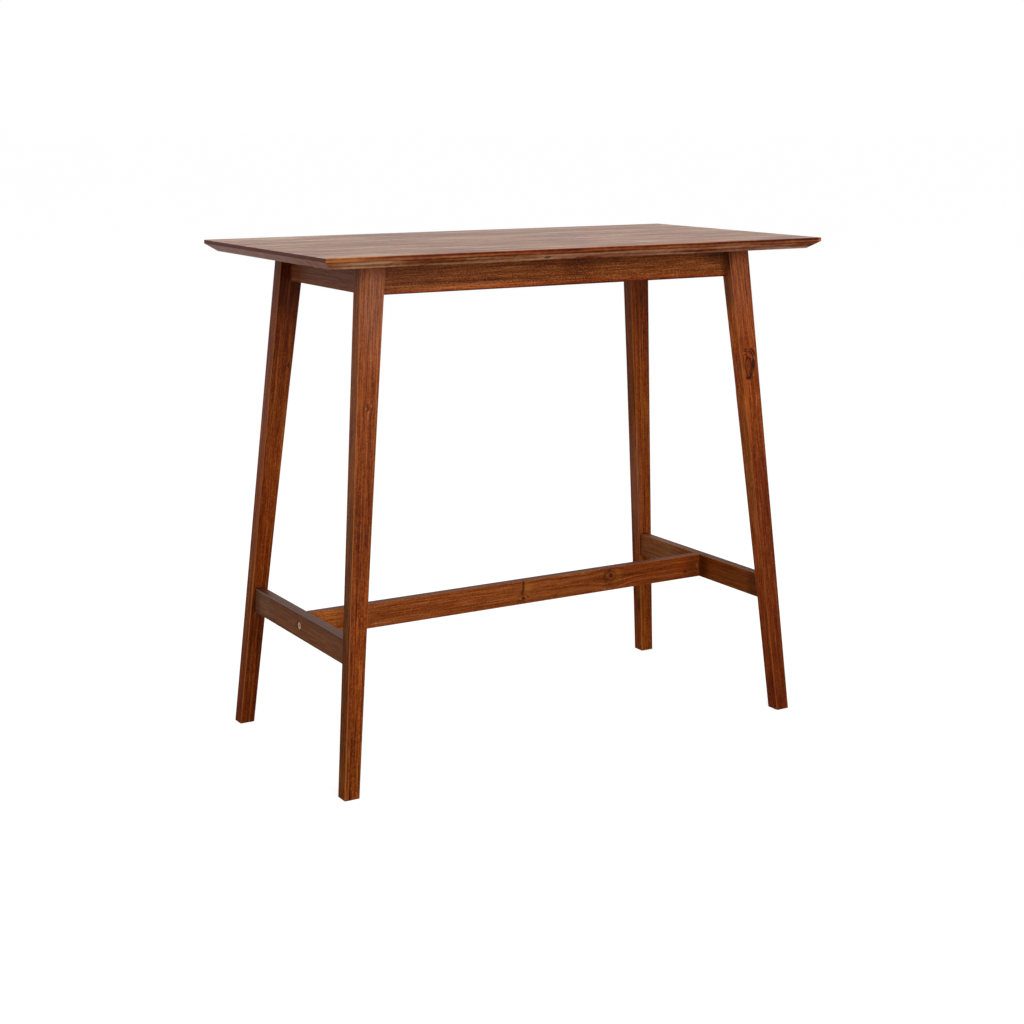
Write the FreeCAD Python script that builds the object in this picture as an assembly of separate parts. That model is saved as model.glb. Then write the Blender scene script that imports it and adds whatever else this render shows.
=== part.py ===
import FreeCAD
import Part
import math
import os

# Bar table in stained solid wood: a glued board top with an undercut bevel, four
# legs that splay and taper, an apron frame under the top and an H of stretchers.
# Lengths are in millimetres. X runs along the table, Y across it and Z up.
# The origin is on the floor, under the middle of the top.

# Whole table
table_length = 1200.0
table_width = 600.0
table_height = 1050.0

# Top panel, glued up from boards that run the length of the table
top_thickness = 24.0
top_band_height = 8.0
top_bevel_inset = 22.5
top_edge_round = 1.4
top_board_count = 6

# Legs, set in from the ends and sides of the top, less on the floor than under the top.
# The inner edge has straight ends that reach to leg_bend_reach from half way up, where
# they would meet leg_bend out of line.
leg_top_inset_x = 122.9
leg_top_inset_y = 98.4
leg_top_width = 55.0
leg_foot_inset_x = 49.9
leg_foot_inset_y = 30.2
leg_foot_width = 32.6
leg_thickness = 31.2
leg_bend = 3.3
leg_bend_reach = 410.0
leg_edge_round = 2.5

# Aprons, set back from the legs' outer faces
apron_height = 62.0
apron_thickness = 20.0
long_apron_setback = 11.6
side_apron_setback = 24.1
apron_edge_round = 1.5

# Stretchers
stretcher_bottom = 245.6
stretcher_height = 51.8
side_stretcher_thickness = 21.8
side_stretcher_setback = 10.1
long_stretcher_thickness = 20.0
stretcher_edge_round = 1.3

# Housed tenons that join the side stretchers to the legs
housing_depth = 5.0
housing_clearance = 1.0
housing_rim = 1.2
tenon_length = 14.0
tenon_thickness = 11.0
tenon_height = 36.0

# Dowel under each bolt of the long stretcher
dowel_diameter = 8.0
dowel_depth_in_long = 18.0
dowel_depth_in_side = 12.0
stretcher_dowel_offset = 16.0

# Corner blocks across the inner corners of the apron frame
block_height = 54.0
block_thickness = 22.0
block_corner_gap = 18.0

# Hanger bolts that pull each leg to its corner block
hanger_diameter = 8.0
hanger_depth_in_leg = 24.0
hanger_spare_thread = 4.0
washer_diameter = 20.0
washer_thickness = 1.6
nut_width = 13.0
nut_height = 6.5

# Angle brackets between the aprons and the top
bracket_arm = 25.0
bracket_width = 18.0
bracket_thickness = 2.0
bracket_bend_round = 2.5
bracket_hole_diameter = 4.5
bracket_hole_from_corner = 15.0
bracket_offset = 200.0

# Connector bolts and barrel nuts at the ends of the long stretcher
connector_diameter = 6.0
connector_head_diameter = 14.5
connector_head_height = 2.4
connector_recess = 1.5
connector_counterbore = 17.0
connector_key_width = 4.0
connector_key_depth = 1.8
connector_spare_thread = 5.0
barrel_diameter = 10.0
barrel_length = 16.0
barrel_from_end = 30.0

# Fits and cutting allowances
hole_clearance = 0.15
hole_end_clearance = 1.0
cut_overrun = 10.0

# Derived levels and positions
underside = table_height - top_thickness
apron_bottom = underside - apron_height
apron_middle = underside - apron_height / 2
stretcher_middle = stretcher_bottom + stretcher_height / 2
half_length = table_length / 2
half_width = table_width / 2
leg_top_outer_x = half_length - leg_top_inset_x
leg_top_outer_y = half_width - leg_top_inset_y
leg_foot_outer_x = half_length - leg_foot_inset_x
leg_foot_outer_y = half_width - leg_foot_inset_y
long_apron_outer_y = leg_top_outer_y - long_apron_setback
long_apron_inner_y = long_apron_outer_y - apron_thickness
side_apron_outer_x = leg_top_outer_x - side_apron_setback
side_apron_inner_x = side_apron_outer_x - apron_thickness
leg_lean = math.atan((leg_foot_outer_y - leg_top_outer_y) / underside)
leg_depth = leg_thickness / math.cos(leg_lean)

along_x = FreeCAD.Vector(1, 0, 0)
along_y = FreeCAD.Vector(0, 1, 0)
along_z = FreeCAD.Vector(0, 0, 1)
outward_diagonal = FreeCAD.Vector(1, 1, 0).normalize()
centre = FreeCAD.Vector(0, 0, 0)


def point(x, y, z):
    return FreeCAD.Vector(x, y, z)


def block_between(low, high):
    size = high - low
    return Part.makeBox(size.x, size.y, size.z, low)


def peg(start, direction, length, diameter):
    return Part.makeCylinder(diameter / 2, length, start, direction)


def polygon_face(corners):
    return Part.Face(Part.makePolygon(corners + [corners[0]]))


def hexagon_prism(width, height):
    corners = []
    for step in range(6):
        turn = math.radians(60 * step)
        corners.append(point(math.cos(turn), math.sin(turn), 0) * (width / math.sqrt(3)))
    return polygon_face(corners).extrude(along_z * height)


def edges_along(solid, direction):
    found = []
    for edge in solid.Edges:
        if len(edge.Vertexes) == 2:
            run = edge.Vertexes[1].Point - edge.Vertexes[0].Point
            if run.normalize().cross(direction).Length < math.sin(math.radians(1)):
                found.append(edge)
    return found


def mirrored_x(shape):
    return shape.mirror(centre, along_x)


def mirrored_y(shape):
    return shape.mirror(centre, along_y)


def both_ends(shape):
    return [shape, mirrored_x(shape)]


def four_corners(shape):
    return both_ends(shape) + both_ends(mirrored_y(shape))


# Lines of the leg at the back right, from which the other three are mirrored
def leg_outer_x(level):
    rise = level / underside
    return leg_foot_outer_x + (leg_top_outer_x - leg_foot_outer_x) * rise


def leg_inner_x(level):
    # The straight ends of the inner edge would meet half way up, bent outward
    foot = leg_foot_outer_x - leg_foot_width
    top = leg_top_outer_x - leg_top_width
    middle = (foot + top) / 2 + leg_bend
    rise = level / underside
    if rise < 1 / 2:
        return foot + (middle - foot) * 2 * rise
    return top + (middle - top) * 2 * (1 - rise)


def leg_inner_y(level):
    rise = level / underside
    outer = leg_foot_outer_y + (leg_top_outer_y - leg_foot_outer_y) * rise
    return outer - leg_depth


side_stretcher_outer_x = leg_outer_x(stretcher_middle) - side_stretcher_setback
side_stretcher_inner_x = side_stretcher_outer_x - side_stretcher_thickness
side_stretcher_middle_x = side_stretcher_outer_x - side_stretcher_thickness / 2


def leg_plank(near, far):
    # A plank sawn to the leg's outline, with its hollow inner edge, still upright
    low = -cut_overrun
    high = underside + cut_overrun
    slope = math.cos(leg_lean)
    foot_outer = point(leg_outer_x(low), near, low / slope)
    foot_inner = point(leg_inner_x(low), near, low / slope)
    bend = point(leg_inner_x(underside / 2), near, underside / 2 / slope)
    top_inner = point(leg_inner_x(high), near, high / slope)
    top_outer = point(leg_outer_x(high), near, high / slope)
    downward = (foot_inner - bend).normalize()
    upward = (top_inner - bend).normalize()
    half_turn = (math.pi - downward.getAngle(upward)) / 2
    bend_radius = leg_bend_reach / math.tan(half_turn)
    hollow = bend + (downward + upward).normalize() * (bend_radius / math.cos(half_turn) - bend_radius)
    low_end = bend + downward * leg_bend_reach
    high_end = bend + upward * leg_bend_reach
    outline = Part.Wire([
        Part.makeLine(foot_outer, top_outer),
        Part.makeLine(top_outer, top_inner),
        Part.makeLine(top_inner, high_end),
        Part.Arc(high_end, hollow, low_end).toShape(),
        Part.makeLine(low_end, foot_inner),
        Part.makeLine(foot_inner, foot_outer),
    ])
    return Part.Face(outline).extrude(along_y * (far - near))


def leaned(plank):
    # Leans the plank outward and saws it level at the floor and under the top
    plank.rotate(centre, along_x, math.degrees(leg_lean))
    plank.translate(along_y * leg_inner_y(0))
    return plank.common(block_between(centre, point(table_length, table_width, underside)))


def splayed_slab(near, far):
    # A slice that leans with the leg, from near to far beyond its inner face
    corners = [
        point(0, leg_inner_y(0) + near, 0),
        point(0, leg_inner_y(0) + far, 0),
        point(0, leg_inner_y(underside) + far, underside),
        point(0, leg_inner_y(underside) + near, underside),
    ]
    return polygon_face(corners).extrude(along_x * table_length)


# Joint between a side stretcher and a leg
def cross_rail(thickness, height, reach):
    # A square bar across the table, on the line of the right side stretcher
    return block_between(
        point(side_stretcher_middle_x - thickness / 2, -reach, stretcher_middle - height / 2),
        point(side_stretcher_middle_x + thickness / 2, reach, stretcher_middle + height / 2))


def housing_rim_outline(spread, offset):
    across = side_stretcher_thickness / 2 + housing_clearance + spread
    up = stretcher_height / 2 + housing_clearance + spread
    return Part.makePolygon([
        point(-across, offset, -up),
        point(across, offset, -up),
        point(across, offset, up),
        point(-across, offset, up),
        point(-across, offset, -up),
    ])


def housing_rim_cutter():
    # Eases the mouth of the housing, square to the leaning face of the leg
    outlines = [housing_rim_outline(2 * housing_rim, -housing_rim), housing_rim_outline(0, housing_rim)]
    cutter = Part.makeLoft(outlines, True)
    cutter.rotate(centre, along_x, math.degrees(leg_lean))
    cutter.translate(point(side_stretcher_middle_x, leg_inner_y(stretcher_middle), stretcher_middle))
    return cutter


def housing_cutter():
    thickness = side_stretcher_thickness + 2 * housing_clearance
    height = stretcher_height + 2 * housing_clearance
    mouth = cross_rail(thickness, height, half_width)
    mouth = mouth.common(splayed_slab(-cut_overrun, housing_depth))
    thickness = tenon_thickness + 2 * hole_clearance
    height = tenon_height + 2 * hole_clearance
    socket = cross_rail(thickness, height, half_width)
    socket = socket.common(splayed_slab(0, housing_depth + tenon_length + hole_end_clearance))
    return mouth.fuse(socket).fuse(housing_rim_cutter())


# Hanger bolt, on the diagonal through the inner corner of the leg
def hanger_corner():
    return point(leg_inner_x(apron_middle), leg_inner_y(apron_middle), apron_middle)


def block_wing():
    return block_corner_gap + block_thickness * math.sqrt(2)


def hanger_seat():
    # Where the bolt comes out of the corner block, under its washer
    corner = hanger_corner()
    face_sum = side_apron_inner_x + long_apron_inner_y - block_wing()
    return corner - outward_diagonal * ((corner.x + corner.y - face_sum) / math.sqrt(2))


def hanger_bolt():
    start = hanger_seat() - outward_diagonal * (washer_thickness + nut_height + hanger_spare_thread)
    far_end = hanger_corner() + outward_diagonal * hanger_depth_in_leg
    return peg(start, outward_diagonal, (far_end - start).Length, hanger_diameter)


def hanger_hole():
    start = hanger_seat() - outward_diagonal * cut_overrun
    far_end = hanger_corner() + outward_diagonal * (hanger_depth_in_leg + hole_end_clearance)
    return peg(start, outward_diagonal, (far_end - start).Length, hanger_diameter + 2 * hole_clearance)


def hanger_washer():
    start = hanger_seat() - outward_diagonal * washer_thickness
    return peg(start, outward_diagonal, washer_thickness, washer_diameter).cut(hanger_hole())


def hanger_nut():
    nut = hexagon_prism(nut_width, nut_height)
    start = hanger_seat() - outward_diagonal * (washer_thickness + nut_height)
    nut.Placement = FreeCAD.Placement(start, FreeCAD.Rotation(along_z, outward_diagonal))
    return nut.cut(hanger_hole())


# Top boards
def top_panel():
    band_bottom = table_height - top_band_height
    band = block_between(
        point(-half_length, -half_width, band_bottom),
        point(half_length, half_width, table_height))
    outlines = []
    for inset, level in ((0, band_bottom), (top_bevel_inset, underside)):
        low = point(-half_length + inset, -half_width + inset, level)
        outlines.append(Part.makePlane(table_length - 2 * inset, table_width - 2 * inset, low).OuterWire)
    panel = band.fuse(Part.makeLoft(outlines, True)).removeSplitter()
    eased = [edge for edge in panel.Edges if edge.BoundBox.ZMin > band_bottom]
    return panel.makeFillet(top_edge_round, eased)


def top_boards():
    panel = top_panel()
    board_width = table_width / top_board_count
    boards = []
    for number in range(top_board_count):
        near = -half_width + number * board_width
        strip = block_between(
            point(-table_length, near, 0),
            point(table_length, near + board_width, table_height + cut_overrun))
        boards.append(panel.common(strip))
    return boards


# Legs
def leg():
    blank = leg_plank(0, leg_thickness)
    arrises = [edge for edge in blank.Edges if edge.Length > underside / 2]
    post = leaned(blank.makeFillet(leg_edge_round, arrises))
    return post.cut(Part.makeCompound([hanger_hole(), housing_cutter()]))


# Aprons
def apron_bar(low, high, direction):
    bar = block_between(low, high)
    lower = [edge for edge in edges_along(bar, direction) if edge.CenterOfMass.z < apron_middle]
    return bar.makeFillet(apron_edge_round, lower)


def long_apron():
    reach = leg_top_outer_x - leg_top_width / 2
    bar = apron_bar(
        point(-reach, long_apron_inner_y, apron_bottom),
        point(reach, long_apron_outer_y, underside), along_x)
    right = [leaned(leg_plank(-apron_thickness, leg_thickness)), hanger_hole()]
    return bar.cut(Part.makeCompound(right + [mirrored_x(shape) for shape in right]))


def side_apron():
    bar = apron_bar(
        point(side_apron_inner_x, -leg_top_outer_y, apron_bottom),
        point(side_apron_outer_x, leg_top_outer_y, underside), along_y)
    back = splayed_slab(0, leg_depth)
    return bar.cut(Part.makeCompound([back, mirrored_y(back)]))


# Corner blocks
def corner_block():
    near_x = side_apron_inner_x - block_corner_gap
    near_y = long_apron_inner_y - block_corner_gap
    far_x = side_apron_inner_x - block_wing()
    far_y = long_apron_inner_y - block_wing()
    bottom = underside - block_height
    corners = [
        point(near_x, long_apron_inner_y, bottom),
        point(side_apron_inner_x, near_y, bottom),
        point(side_apron_inner_x, far_y, bottom),
        point(far_x, long_apron_inner_y, bottom),
    ]
    return polygon_face(corners).extrude(along_z * block_height).cut(hanger_hole())


# Angle brackets
def bracket():
    # Bent strip under the top, against the inner face of the back apron
    left = bracket_offset - bracket_width / 2
    corner = point(left, long_apron_inner_y, underside)
    profile = polygon_face([
        corner,
        corner - along_y * bracket_arm,
        corner - along_y * bracket_arm - along_z * bracket_thickness,
        corner - along_y * bracket_thickness - along_z * bracket_thickness,
        corner - along_y * bracket_thickness - along_z * bracket_arm,
        corner - along_z * bracket_arm,
    ])
    strip = profile.extrude(along_x * bracket_width)
    inside = corner - (along_y + along_z) * bracket_thickness
    bend = [edge for edge in edges_along(strip, along_x)
            if (edge.Vertexes[0].Point - inside).cross(along_x).Length < bracket_thickness / 2]
    strip = strip.makeFillet(bracket_bend_round, bend)
    in_top = corner + along_x * (bracket_width / 2) - along_y * bracket_hole_from_corner
    in_apron = corner + along_x * (bracket_width / 2) - along_z * bracket_hole_from_corner
    holes = [
        peg(in_top - along_z * cut_overrun, along_z, 2 * cut_overrun, bracket_hole_diameter),
        peg(in_apron - along_y * cut_overrun, along_y, 2 * cut_overrun, bracket_hole_diameter),
    ]
    return strip.cut(Part.makeCompound(holes))


# Stretchers and their fastenings
def stretcher_dowel(spare_length, spare_width):
    # The dowel that keeps the long stretcher from turning, or with spare room its hole
    length = dowel_depth_in_long + dowel_depth_in_side + 2 * spare_length
    start = point(
        side_stretcher_inner_x - dowel_depth_in_long - spare_length,
        0,
        stretcher_middle - stretcher_dowel_offset)
    return peg(start, along_x, length, dowel_diameter + 2 * spare_width)


def connector_seat():
    # Under the head of the bolt, at the bottom of its counterbore
    sunk = connector_recess + connector_head_height
    return point(side_stretcher_outer_x - sunk, 0, stretcher_middle)


def connector_shank(spare_length, spare_width):
    tip = side_stretcher_inner_x - barrel_from_end - barrel_diameter / 2 - connector_spare_thread
    length = connector_seat().x - tip + spare_length
    return peg(connector_seat(), along_x * -1, length, connector_diameter + 2 * spare_width)


def connector_hole():
    return connector_shank(hole_end_clearance, hole_clearance)


def connector_bolt():
    head = peg(connector_seat(), along_x, connector_head_height, connector_head_diameter)
    socket = hexagon_prism(connector_key_width, connector_key_depth)
    socket.Placement = FreeCAD.Placement(
        connector_seat() + along_x * (connector_head_height - connector_key_depth),
        FreeCAD.Rotation(along_z, along_x))
    return head.cut(socket).fuse(connector_shank(0, 0))


def barrel_nut():
    start = point(side_stretcher_inner_x - barrel_from_end, 0, stretcher_middle - barrel_length / 2)
    return peg(start, along_z, barrel_length, barrel_diameter).cut(connector_hole())


def barrel_hole():
    # Drilled up from the underside, so that both faces of the stretcher stay whole
    start = point(side_stretcher_inner_x - barrel_from_end, 0, stretcher_bottom - cut_overrun)
    depth = stretcher_height / 2 + barrel_length / 2 + hole_clearance + cut_overrun
    return peg(start, along_z, depth, barrel_diameter + 2 * hole_clearance)


def side_stretcher():
    body = cross_rail(side_stretcher_thickness, stretcher_height, half_width)
    beyond = splayed_slab(housing_depth, table_width)
    body = body.cut(Part.makeCompound([beyond, mirrored_y(beyond)]))
    body = body.makeFillet(stretcher_edge_round, edges_along(body, along_y))
    tenon = cross_rail(tenon_thickness, tenon_height, half_width)
    beyond = splayed_slab(housing_depth + tenon_length, table_width)
    tenon = tenon.cut(Part.makeCompound([beyond, mirrored_y(beyond)]))
    cutters = [
        stretcher_dowel(hole_end_clearance, hole_clearance),
        connector_hole(),
        peg(connector_seat(), along_x, cut_overrun, connector_counterbore),
    ]
    return body.fuse(tenon).cut(Part.makeCompound(cutters))


def long_stretcher():
    bar = block_between(
        point(-side_stretcher_inner_x, -long_stretcher_thickness / 2, stretcher_bottom),
        point(side_stretcher_inner_x, long_stretcher_thickness / 2, stretcher_bottom + stretcher_height))
    bar = bar.makeFillet(stretcher_edge_round, edges_along(bar, along_x))
    right = [
        stretcher_dowel(hole_end_clearance, hole_clearance),
        connector_hole(),
        barrel_hole(),
    ]
    return bar.cut(Part.makeCompound(right + [mirrored_x(shape) for shape in right]))


def save(name, shapes):
    solid = shapes[0] if len(shapes) == 1 else Part.makeCompound(shapes)
    solid.exportStep(os.path.join("parts", name + ".step"))


def save_corners(name, shape):
    corner_names = ("back_right", "back_left", "front_right", "front_left")
    for corner_name, copy in zip(corner_names, four_corners(shape)):
        save(name + "_" + corner_name, [copy])


os.makedirs("parts", exist_ok=True)

for number, board in enumerate(top_boards()):
    save("top_board_" + str(number + 1), [board])

save_corners("leg", leg())
save_corners("corner_block", corner_block())

back_apron = long_apron()
save("apron_back", [back_apron])
save("apron_front", [mirrored_y(back_apron)])
right_apron = side_apron()
save("apron_right", [right_apron])
save("apron_left", [mirrored_x(right_apron)])

right_stretcher = side_stretcher()
save("stretcher_right", [right_stretcher])
save("stretcher_left", [mirrored_x(right_stretcher)])
save("stretcher_long", [long_stretcher()])

save("hanger_bolts", four_corners(hanger_bolt()))
save("hanger_washers", four_corners(hanger_washer()))
save("hanger_nuts", four_corners(hanger_nut()))
save("top_brackets", four_corners(bracket()))

save("stretcher_dowels", both_ends(stretcher_dowel(0, 0)))
save("connector_bolts", both_ends(connector_bolt()))
save("barrel_nuts", both_ends(barrel_nut()))
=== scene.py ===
import bpy
import bmesh
import math
from mathutils import Matrix, Vector


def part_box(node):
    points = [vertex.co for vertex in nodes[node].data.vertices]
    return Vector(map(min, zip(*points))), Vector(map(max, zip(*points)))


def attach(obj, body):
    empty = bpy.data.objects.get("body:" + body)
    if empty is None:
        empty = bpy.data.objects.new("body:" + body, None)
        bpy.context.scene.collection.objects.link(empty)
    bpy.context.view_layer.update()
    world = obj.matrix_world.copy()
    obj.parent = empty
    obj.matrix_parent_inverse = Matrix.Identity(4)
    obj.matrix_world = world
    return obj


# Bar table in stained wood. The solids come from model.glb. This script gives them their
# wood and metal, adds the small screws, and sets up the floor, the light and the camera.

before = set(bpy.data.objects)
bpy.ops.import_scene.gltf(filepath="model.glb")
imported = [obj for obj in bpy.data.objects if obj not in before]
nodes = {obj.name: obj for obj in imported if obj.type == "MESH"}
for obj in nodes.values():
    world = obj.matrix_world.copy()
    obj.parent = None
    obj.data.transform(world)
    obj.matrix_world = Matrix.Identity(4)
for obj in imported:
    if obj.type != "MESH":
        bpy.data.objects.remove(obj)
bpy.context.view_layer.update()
print("frame loaded:", len(nodes), "nodes")


# Short ways to write shader nodes

def addNode(tree, kind, **settings):
    node = tree.nodes.new(kind)
    for key, value in settings.items():
        setattr(node, key, value)
    return node


def feed(tree, socket, value):
    if isinstance(value, bpy.types.NodeSocket):
        tree.links.new(value, socket)
    elif socket.type == "RGBA" and len(value) == 3:
        socket.default_value = (*value, 1)
    else:
        socket.default_value = value


def feedAll(tree, node, inputs):
    for name, value in inputs.items():
        feed(tree, node.inputs[name], value)


def calc(tree, operation, a, b=0.0, c=0.0):
    node = addNode(tree, "ShaderNodeMath", operation=operation)
    for socket, value in zip(node.inputs, (a, b, c)):
        feed(tree, socket, value)
    return node.outputs[0]


def plus(tree, part, share, base):
    # part times share, and base added
    return calc(tree, "MULTIPLY_ADD", part, share, base)


def vectorCalc(tree, operation, a, b=(0, 0, 0)):
    node = addNode(tree, "ShaderNodeVectorMath", operation=operation)
    feed(tree, node.inputs[0], a)
    feed(tree, node.inputs[1], b)
    return node.outputs["Value"] if operation in ("DOT_PRODUCT", "LENGTH") else node.outputs[0]


def stretched(tree, place, along, across, deep=None):
    return vectorCalc(tree, "MULTIPLY", place, (along, across, across if deep is None else deep))


noiseSwing = 4.0


def noise(tree, place, detail=2.0, roughness=0.5, distortion=0.0):
    # noise centred on 0, mostly between -1 and 1
    node = addNode(tree, "ShaderNodeTexNoise")
    feedAll(tree, node, {"Vector": place, "Scale": 1.0, "Detail": detail,
                         "Roughness": roughness, "Distortion": distortion})
    return plus(tree, node.outputs["Fac"], noiseSwing, -noiseSwing / 2)


def between(tree, value, low, high, start=0.0, end=1.0):
    # soft step from start to end as value goes from low to high
    node = addNode(tree, "ShaderNodeMapRange", interpolation_type="SMOOTHSTEP")
    for socket, entry in zip(node.inputs, (value, low, high, start, end)):
        feed(tree, socket, entry)
    return node.outputs[0]


def ramp(tree, value, stops):
    node = addNode(tree, "ShaderNodeValToRGB")
    feed(tree, node.inputs[0], value)
    line = node.color_ramp
    while len(line.elements) < len(stops):
        line.elements.new(0.5)
    for element, (spot, colour) in zip(line.elements, stops):
        element.position = spot
        element.color = (*colour, 1)
    return node.outputs[0]


def mixColour(tree, share, a, b, way="MIX"):
    # sockets 6, 7 and 2 are the node's colour ones
    node = addNode(tree, "ShaderNodeMix", data_type="RGBA", blend_type=way)
    feed(tree, node.inputs["Factor"], share)
    feed(tree, node.inputs[6], a)
    feed(tree, node.inputs[7], b)
    return node.outputs[2]


def layer(tree, colour, area, share, over):
    # another colour laid over an area, as strong as share says
    return mixColour(tree, calc(tree, "MULTIPLY", area, share), colour, over)


def multiplied(tree, colour, factor):
    return mixColour(tree, 1.0, colour, factor, "MULTIPLY")


def spotDistance(tree, place, at, size):
    # 0 in the middle of a lens shape and 1 at its edge
    offset = vectorCalc(tree, "SUBTRACT", place, at)
    return vectorCalc(tree, "LENGTH", vectorCalc(tree, "DIVIDE", offset, size)), offset


def softSpot(tree, place, at, size, soft):
    # 1 in the middle of a lens shape and 0 outside it
    distance = spotDistance(tree, place, at, size)[0]
    return between(tree, distance, 1 + soft, 1 - soft)


def newMaterial(name):
    material = bpy.data.materials.new(name)
    material.use_nodes = True
    material.node_tree.nodes.clear()
    return material, material.node_tree


def closeMaterial(tree, shader):
    output = addNode(tree, "ShaderNodeOutputMaterial")
    tree.links.new(shader, output.inputs["Surface"])


def addBump(tree, height, strength, distance):
    bump = addNode(tree, "ShaderNodeBump")
    feedAll(tree, bump, {"Strength": strength, "Distance": distance, "Height": height})
    return bump.outputs[0]


def closeSurface(tree, inputs):
    shader = addNode(tree, "ShaderNodeBsdfPrincipled")
    feedAll(tree, shader, inputs)
    closeMaterial(tree, shader.outputs[0])


def paint(nodeName, material):
    mesh = nodes[nodeName].data
    if not mesh.materials:
        mesh.materials.append(material)
    for i in range(len(mesh.materials)):
        mesh.materials[i] = material


# Stained wood: what all its pieces share. Step, Rise and Fall say where a soft step starts
# and ends, and where there are four numbers also its first and last value. Grain says how
# tight noise is along the grain and across it, and Detail how fine and how rough it is.
woodMix = {
    "seedSteps": (1, 0.37, 0.71),
    "fibreDetail": (3.0, 0.6),
    "streakDetail": (3.0, 0.55),
    "fleckDetail": (2.0, 0.7),
    "wanderGrain": (1.6, 9.0),
    "lateWoodRise": (0.2, 0.85),
    "lateWoodFall": (1.0, 0.9),
    "toneMiddle": 0.5,
    "ringLift": 0.4,
    "poreGrain": (38, 620),
    "poreDetail": 1.0,
    "poreStep": (0.45, 0.95),
    "goldStep": (0.1, 1.3),
    "bandSoft": 0.8,
    "tintSoft": 0.9,
    "faceSoft": 0.8,
    "faceStep": (0.86, 0.97),
    "endLineGrain": (500, 5, 500),
    "endLineStep": (0.4, 0.55, 0.0, 0.75),
    "endGrainStep": (0.45, 0.9),
    "brokenStep": (-1.2, 0.8, 0.45, 1.0),
    "edgeStep": (0.985, 0.88),
    "edgeUpStep": (0.02, 0.15),
    "edgeWearAndShadingStep": (-1.2, 0.4, 0.55, 1.0),
    "poreRough": 0.08,
    "endGrainRough": 0.12,
    "poreHeight": -0.8,
    "fibreHeight": 0.35,
    "lateWoodHeight": 0.25,
    "bumpDistance": 0.0003,
}
knotMix = {
    "partReach": 3.2,  # knot sizes within which the grain parts
    "partSoft": 0.75,
    "partAside": (0, 0.5, 0.15),
    "unevenGrain": 60,
    "fibreUneven": 0.06,
    "bodyStep": (1.1, 0.95),
    "bodyShare": 0.6,
    "ringStep": (0.1, 0.9),
    "ringReachStep": (2.2, 1.1),
    "ringShare": 0.7,
    "rimRise": (0.72, 0.92),
    "rimFall": (1.2, 1.0),
    "pithStep": (0.62, 0.3),
}


# Rows of the looks below. Each says where it lies, in metres from the point on the floor
# under the middle of the top, and how far it reaches along the grain, across it and in
# depth, or along X, Y and Z on metal.

def band(at, size, lighter):
    return {"at": at, "size": size, "lighter": lighter}


def tint(at, size, times):
    return {"at": at, "size": size, "times": times}


# painted light and shade: faces that turn one way get their colour multiplied, lighter where sheen
# or a highlight is painted, darker where shade is painted
def paintedFaceShading(facing, times, at=None, size=None):
    return {"facing": facing, "times": times, "at": at, "size": size}


def knot(at, size, kind):
    return {"at": at, "size": size, **kind}


def mark(at, size, colour, share, soft=0.4):
    return {"at": at, "size": size, "colour": colour, "share": share, "soft": soft}


def grainAxes(alongGrain, throughFace):
    # columns: along the grain, across it, and through the wide face
    x = Vector(alongGrain).normalized()
    z = Vector(throughFace)
    z = (z - x * z.dot(x)).normalized()
    y = z.cross(x)
    return Matrix((x, y, z)).transposed()


def growthRings(tree, look, start, flow):
    # dark late wood in rings round a heart that lies beside the board
    wander = noise(tree, stretched(tree, start, *woodMix["wanderGrain"]))
    parts = addNode(tree, "ShaderNodeSeparateXYZ")
    tree.links.new(flow, parts.inputs[0])
    heartY, heartZ = look["heart"]
    slope = plus(tree, parts.outputs[0], look["drift"], -heartY)
    ringY = calc(tree, "ADD", parts.outputs[1], slope)
    ringY = plus(tree, wander, look["wander"], ringY)
    ringZ = calc(tree, "SUBTRACT", parts.outputs[2], heartZ)
    squares = plus(tree, ringY, ringY, calc(tree, "MULTIPLY", ringZ, ringZ))
    turns = calc(tree, "DIVIDE", calc(tree, "SQRT", squares), look["ringGap"])
    saw = calc(tree, "FRACT", turns)
    rise = between(tree, saw, *woodMix["lateWoodRise"])
    return calc(tree, "MULTIPLY", rise, between(tree, saw, *woodMix["lateWoodFall"]))


def drawKnot(tree, colour, look, distance):
    inside = between(tree, distance, *knotMix["bodyStep"])
    colour = layer(tree, colour, inside, knotMix["bodyShare"], look["wood"])
    swirl = calc(tree, "SINE", calc(tree, "MULTIPLY", distance, look["rings"] * 2 * math.pi))
    fading = between(tree, distance, *knotMix["ringReachStep"])
    reach = calc(tree, "MULTIPLY", fading, look["spread"])
    lines = between(tree, swirl, *knotMix["ringStep"])
    shade = calc(tree, "MULTIPLY", lines, calc(tree, "MAXIMUM", inside, reach))
    colour = layer(tree, colour, shade, knotMix["ringShare"], look["bark"])
    rise = between(tree, distance, *knotMix["rimRise"])
    rim = calc(tree, "MULTIPLY", rise, between(tree, distance, *knotMix["rimFall"]))
    colour = layer(tree, colour, rim, look["rim"], look["bark"])
    pith = between(tree, distance, *knotMix["pithStep"])
    return layer(tree, colour, pith, look["pith"], look["bark"])


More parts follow.
